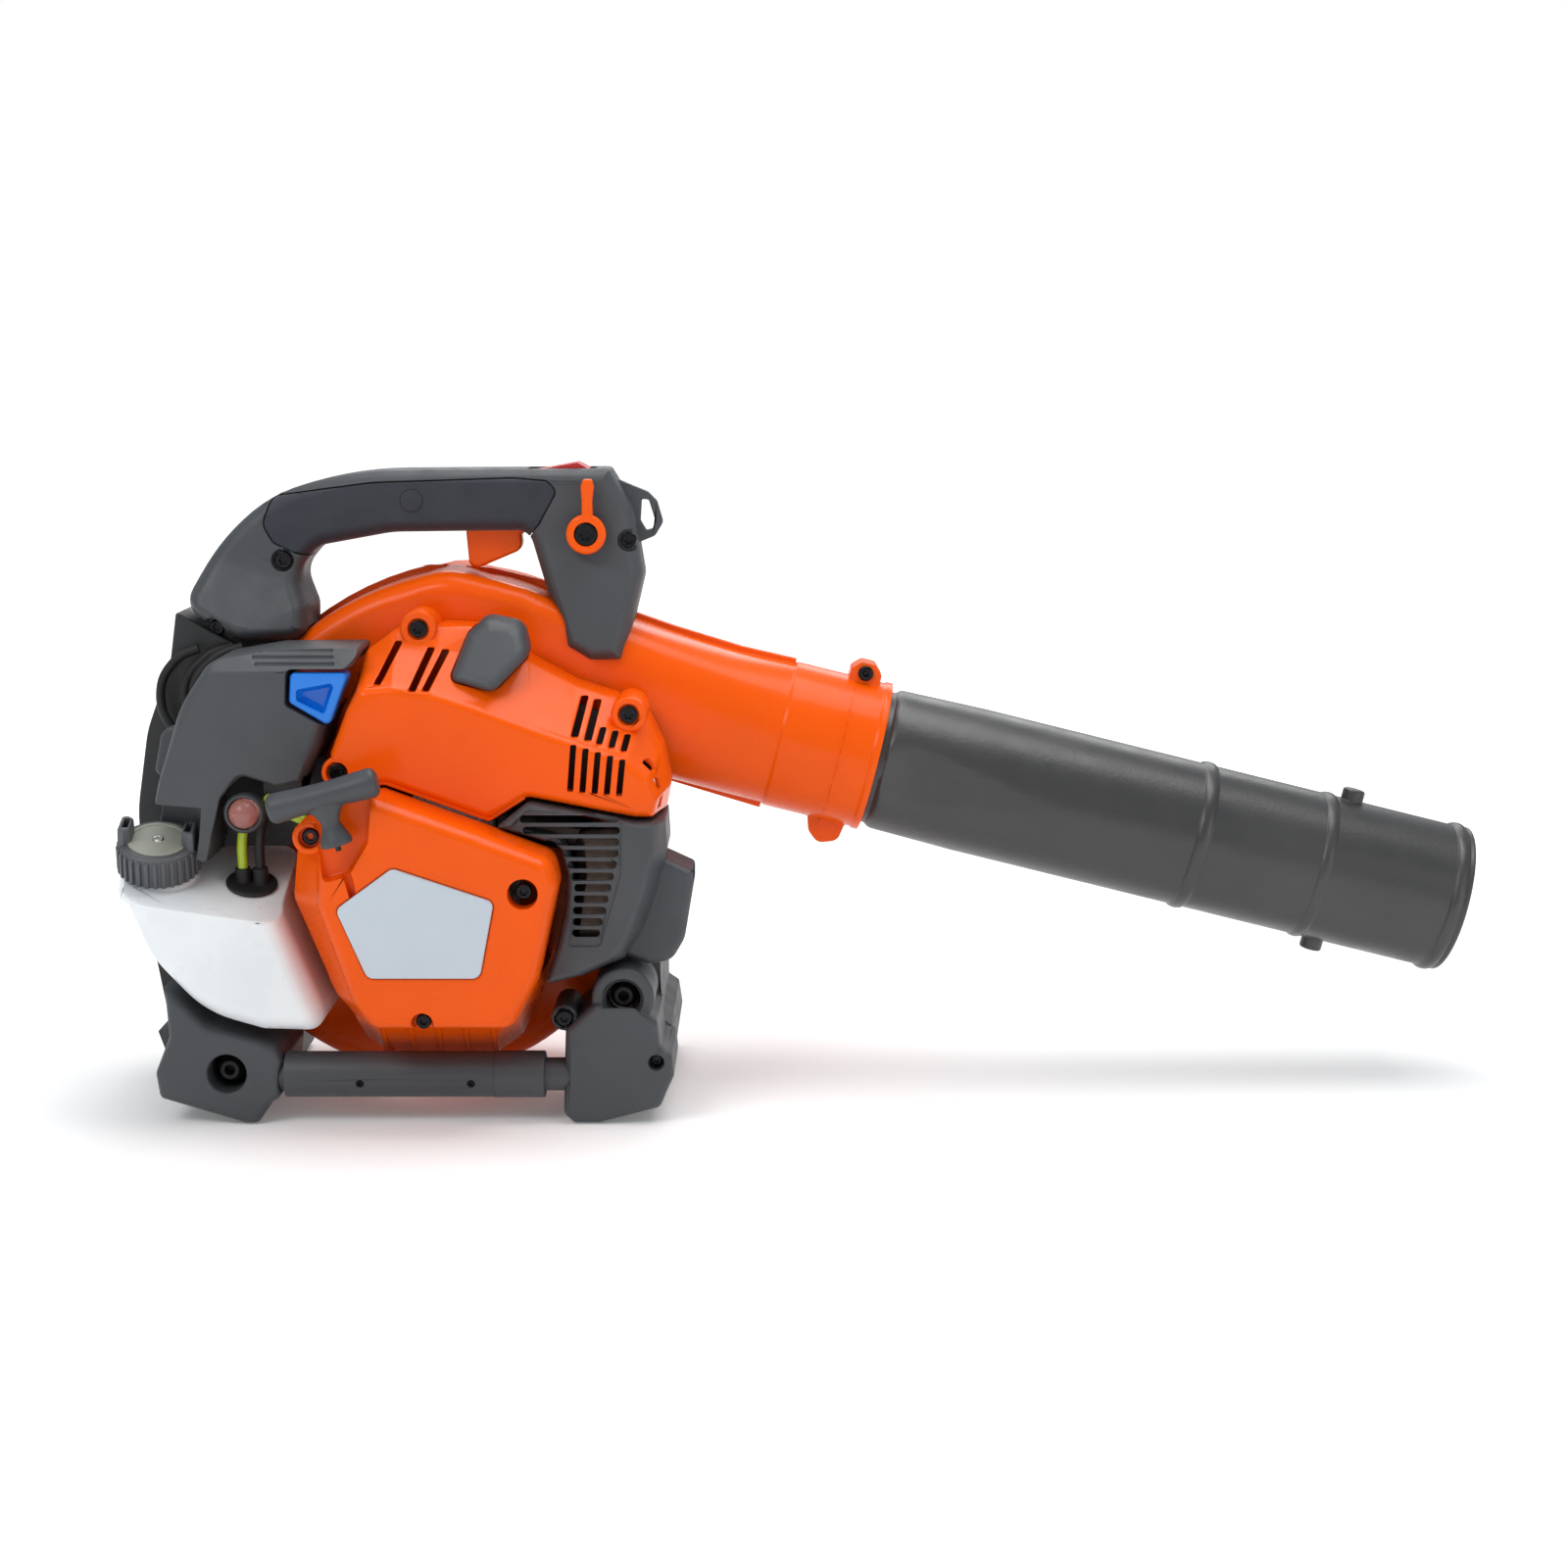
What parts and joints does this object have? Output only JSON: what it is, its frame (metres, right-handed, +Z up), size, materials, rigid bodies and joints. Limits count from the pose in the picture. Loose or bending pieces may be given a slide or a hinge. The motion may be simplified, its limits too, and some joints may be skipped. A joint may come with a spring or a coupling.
{
  "type": "leaf blower",
  "caption": "Hand-held petrol leaf blower with a volute fan housing, a slanted blower tube, a top handle with trigger, a recoil starter and a fuel tank on two feet.",
  "frame": {"origin": "on the ground under the middle of the object's bounding box", "axes": "+X towards the nozzle, -Y towards the recoil starter, +Z up"},
  "size_m": [0.7676, 0.2326, 0.3524],
  "materials": {
    "orange_plastic": "glossy moulded",
    "grey_plastic": "fine texture",
    "soft_grip": "soft matt",
    "black_tube": "fine orange peel",
    "black_steel": "black oxide",
    "steel": "machined",
    "aluminium": "die cast",
    "rubber": "matt",
    "tank_plastic": "translucent milky",
    "cap_plastic": "moulded",
    "blue_plastic": "glossy",
    "red_plastic": "glossy",
    "badge_silver": "satin silver",
    "clear_pink": "clear soft",
    "fuel_green": "translucent",
    "paper": "pleated felt"
  },
  "bodies": {
    "frame": {"fan_housing_front": "orange_plastic", "fan_housing_rear": "orange_plastic", "tube_clamp_screw": "black_steel", "intake_grille": "grey_plastic", "crankcase": "aluminium", "cylinder": "aluminium", "ignition_coil": "black_steel", "spark_plug": "steel", "muffler": "steel", "muffler_outlet": "grey_plastic", "engine_cover": "orange_plastic", "spark_plug_cover": "grey_plastic", "starter_housing": "orange_plastic", "starter_badge": "badge_silver", "engine_shroud": "orange_plastic", "muffler_guard": "grey_plastic", "air_filter_cover": "grey_plastic", "air_filter_base": "grey_plastic", "air_filter_element": "paper", "carburettor": "aluminium", "intake_manifold": "rubber", "primer_base": "grey_plastic", "fuel_tank": "tank_plastic", "fuel_grommet": "rubber", "fuel_line_feed": "fuel_green", "fuel_line_return": "rubber", "starter_spring": "steel", "handle_shell_near": "grey_plastic", "handle_shell_far": "grey_plastic", "grip_insert": "soft_grip", "throttle_cable": "rubber", "rear_frame": "grey_plastic", "rear_foot": "grey_plastic", "front_foot": "grey_plastic", "base_bar": "grey_plastic", "av_mount_rear": "rubber", "av_mount_front": "rubber"},
    "engine_spin": {"crankshaft_starter_half": "steel", "crankshaft_fan_half": "steel", "flywheel": "aluminium", "impeller": "aluminium"},
    "piston_group": {"piston": "aluminium", "connecting_rod": "steel", "crank_pin": "steel"},
    "starter_drum": {"starter_pulley": "black_tube", "starter_rope": "rubber"},
    "pull_handle": {"starter_handle": "grey_plastic"},
    "trigger": {"throttle_trigger": "orange_plastic"},
    "throttle_spindle": {"throttle_valve": "steel"},
    "cruise": {"cruise_lever": "orange_plastic"},
    "switch": {"stop_switch": "red_plastic"},
    "choke": {"choke_lever": "blue_plastic"},
    "cap_seal": {"cap_gasket": "rubber"},
    "cap": {"fuel_cap": "cap_plastic"},
    "primer": {"primer_bulb": "clear_pink"},
    "tube": {"blower_tube": "black_tube"}
  },
  "joints": [
    {"name": "engine_turn", "type": "hinge", "parent": "frame", "child": "engine_spin", "pos_m": [-0.20024, -0.0407, 0.121], "axis": [0, 1, 0], "continuous": true},
    {"name": "piston_stroke", "type": "slide", "parent": "frame", "child": "piston_group", "axis": [0.2079, 0, 0.9781], "range_m": [-0.028, 0]},
    {"name": "starter_turn", "type": "hinge", "parent": "frame", "child": "starter_drum", "pos_m": [-0.20024, -0.0927, 0.121], "axis": [0, 1, 0], "range_deg": [0, 1670]},
    {"name": "starter_pull", "type": "slide", "parent": "frame", "child": "pull_handle", "axis": [-0.2599, 0, 0.9656], "range_m": [0, 0.8]},
    {"name": "trigger_squeeze", "type": "hinge", "parent": "frame", "child": "trigger", "pos_m": [-0.15624, 0.0343, 0.321], "axis": [0, 1, 0], "range_deg": [0, 16], "stiffness_Nm_per_rad": 0.6, "springref_deg": -8.59},
    {"name": "throttle_open", "type": "hinge", "parent": "frame", "child": "throttle_spindle", "pos_m": [-0.28224, -0.0587, 0.2], "axis": [0, -1, 0], "range_deg": [0, 64.5]},
    {"name": "cruise_turn", "type": "hinge", "parent": "frame", "child": "cruise", "pos_m": [-0.12124, 0.0043, 0.314], "axis": [0, -1, 0], "range_deg": [0, 70]},
    {"name": "stop_rock", "type": "hinge", "parent": "frame", "child": "switch", "pos_m": [-0.13724, 0.0343, 0.344], "axis": [0, 1, 0], "range_deg": [0, 9], "stiffness_Nm_per_rad": 0.2, "springref_deg": -5.73},
    {"name": "choke_lift", "type": "hinge", "parent": "frame", "child": "choke", "pos_m": [-0.25024, -0.0647, 0.243], "axis": [1, 0, 0], "range_deg": [-40, 0]},
    {"name": "cap_lift", "type": "slide", "parent": "frame", "child": "cap_seal", "axis": [0.0701, -0.3705, 0.9262], "range_m": [0, 0.00901]},
    {"name": "cap_turn", "type": "hinge", "parent": "cap_seal", "child": "cap", "pos_m": [-0.35054, -0.0507, 0.1385], "axis": [0.0701, -0.3705, 0.9262], "range_deg": [0, 540]},
    {"name": "primer_press", "type": "slide", "parent": "frame", "child": "primer", "axis": [0, 1, 0], "range_m": [0, 0.004], "stiffness_N_per_m": 900},
    {"name": "tube_slide", "type": "slide", "parent": "frame", "child": "tube", "axis": [0.9704, 0, -0.2416], "range_m": [0, 0.08]}
  ],
  "couplings": [
    {"joint": "starter_turn", "follows": "starter_pull", "rad_per_m": 36.364},
    {"joint": "throttle_open", "follows": "trigger_squeeze", "ratio": 4},
    {"joint": "cap_lift", "follows": "cap_turn", "m_per_rad": 0.00095493}
  ]
}
